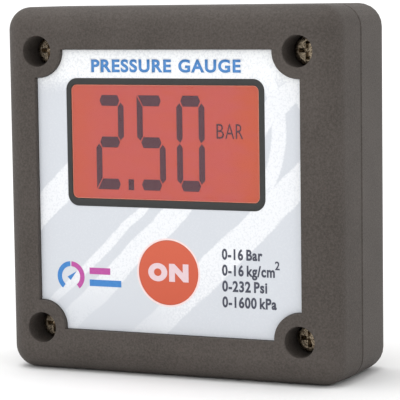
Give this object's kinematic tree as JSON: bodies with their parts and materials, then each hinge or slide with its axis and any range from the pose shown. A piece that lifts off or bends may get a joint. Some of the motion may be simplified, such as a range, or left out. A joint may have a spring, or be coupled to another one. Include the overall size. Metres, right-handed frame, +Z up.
{
  "type": "digital pressure gauge",
  "caption": "Square digital pressure gauge with a backlit liquid crystal display, a push button, a screwed two-part case, a rear battery bay and a threaded rear pressure port.",
  "frame": {"origin": "on the flat bottom of the case, half-way across its width and half-way through the case's depth", "axes": "+Z up through the case, +X to the viewer's right, front face towards -Y, pressure port towards +Y"},
  "size_m": [0.07, 0.0441, 0.07],
  "materials": {
    "case_plastic": "fine matt moulded texture, warm charcoal",
    "seal_rubber": "matt black",
    "yellow_zinc": "yellow zinc plated, dull",
    "label_print": "printed polyester film, fine grain",
    "bezel_grey": "dark grey satin frame",
    "clear_window": "clear satin acrylic",
    "lcd_red": "red backlit liquid crystal",
    "guide_acrylic": "lit acrylic",
    "lamp_amber": "amber lamp lens",
    "zebra_rubber": "striped conductive rubber",
    "white_plastic": "satin moulding",
    "button_orange": "orange-red satin cap with printed word",
    "black_plastic": "satin moulding",
    "plunger_plastic": "satin moulding",
    "board_green": "green solder mask on glass fibre board",
    "plated_steel": "bright nickel plated",
    "chip_black": "moulded package",
    "crystal_can": "drawn can",
    "capacitor_yellow": "moulded tantalum package",
    "port_brass": "turned and milled",
    "cell_sleeve": "steel can in a printed sleeve",
    "vent_white": "sintered membrane",
    "plate_silver": "blank anodised plate"
  },
  "bodies": {
    "case": {"front_housing": "case_plastic", "rear_cover": "case_plastic", "case_gasket": "seal_rubber", "port_seal": "seal_rubber", "case_screw_1": "yellow_zinc", "case_screw_2": "yellow_zinc", "case_screw_3": "yellow_zinc", "case_screw_4": "yellow_zinc", "label_overlay": "label_print", "display_bezel": "bezel_grey", "display_window": "clear_window", "lcd_glass": "lcd_red", "light_guide": "guide_acrylic", "backlight_lamp_left": "lamp_amber", "backlight_lamp_right": "lamp_amber", "zebra_strip_lower": "zebra_rubber", "zebra_strip_upper": "zebra_rubber", "lcd_holder": "white_plastic", "switch_body": "black_plastic", "sensor_header": "black_plastic", "main_board": "board_green", "board_screw_left": "plated_steel", "board_screw_right": "plated_steel", "contact_bridge": "plated_steel", "contact_plate_lower": "plated_steel", "contact_plate_upper": "plated_steel", "contact_pad_lower": "plated_steel", "contact_pad_upper": "plated_steel", "contact_spring_lower": "plated_steel", "contact_spring_upper": "plated_steel", "pressure_sensor": "plated_steel", "micro_chip": "chip_black", "memory_chip": "chip_black", "amplifier_chip": "chip_black", "crystal": "crystal_can", "capacitor_upper": "capacitor_yellow", "capacitor_lower": "capacitor_yellow", "pressure_port": "port_brass", "port_nut": "port_brass", "battery_cell_lower": "cell_sleeve", "battery_cell_upper": "cell_sleeve", "vent_membrane": "vent_white", "rear_plate": "plate_silver"},
    "button": {"on_button": "button_orange"},
    "plunger": {"switch_plunger": "plunger_plastic"},
    "door": {"battery_door": "case_plastic"}
  },
  "joints": [
    {"name": "on_button_press", "type": "slide", "parent": "case", "child": "button", "axis": [0, 1, 0], "range_m": [0, 0.0004], "stiffness_N_per_m": 1500, "springref_m": -0.0006},
    {"name": "switch_plunger_press", "type": "slide", "parent": "case", "child": "plunger", "axis": [0, 1, 0], "range_m": [0, 0.0004]},
    {"name": "battery_door_lift", "type": "slide", "parent": "case", "child": "door", "axis": [0, 1, 0], "range_m": [0, 0.03]}
  ],
  "couplings": [
    {"joint": "switch_plunger_press", "follows": "on_button_press", "ratio": 1}
  ]
}
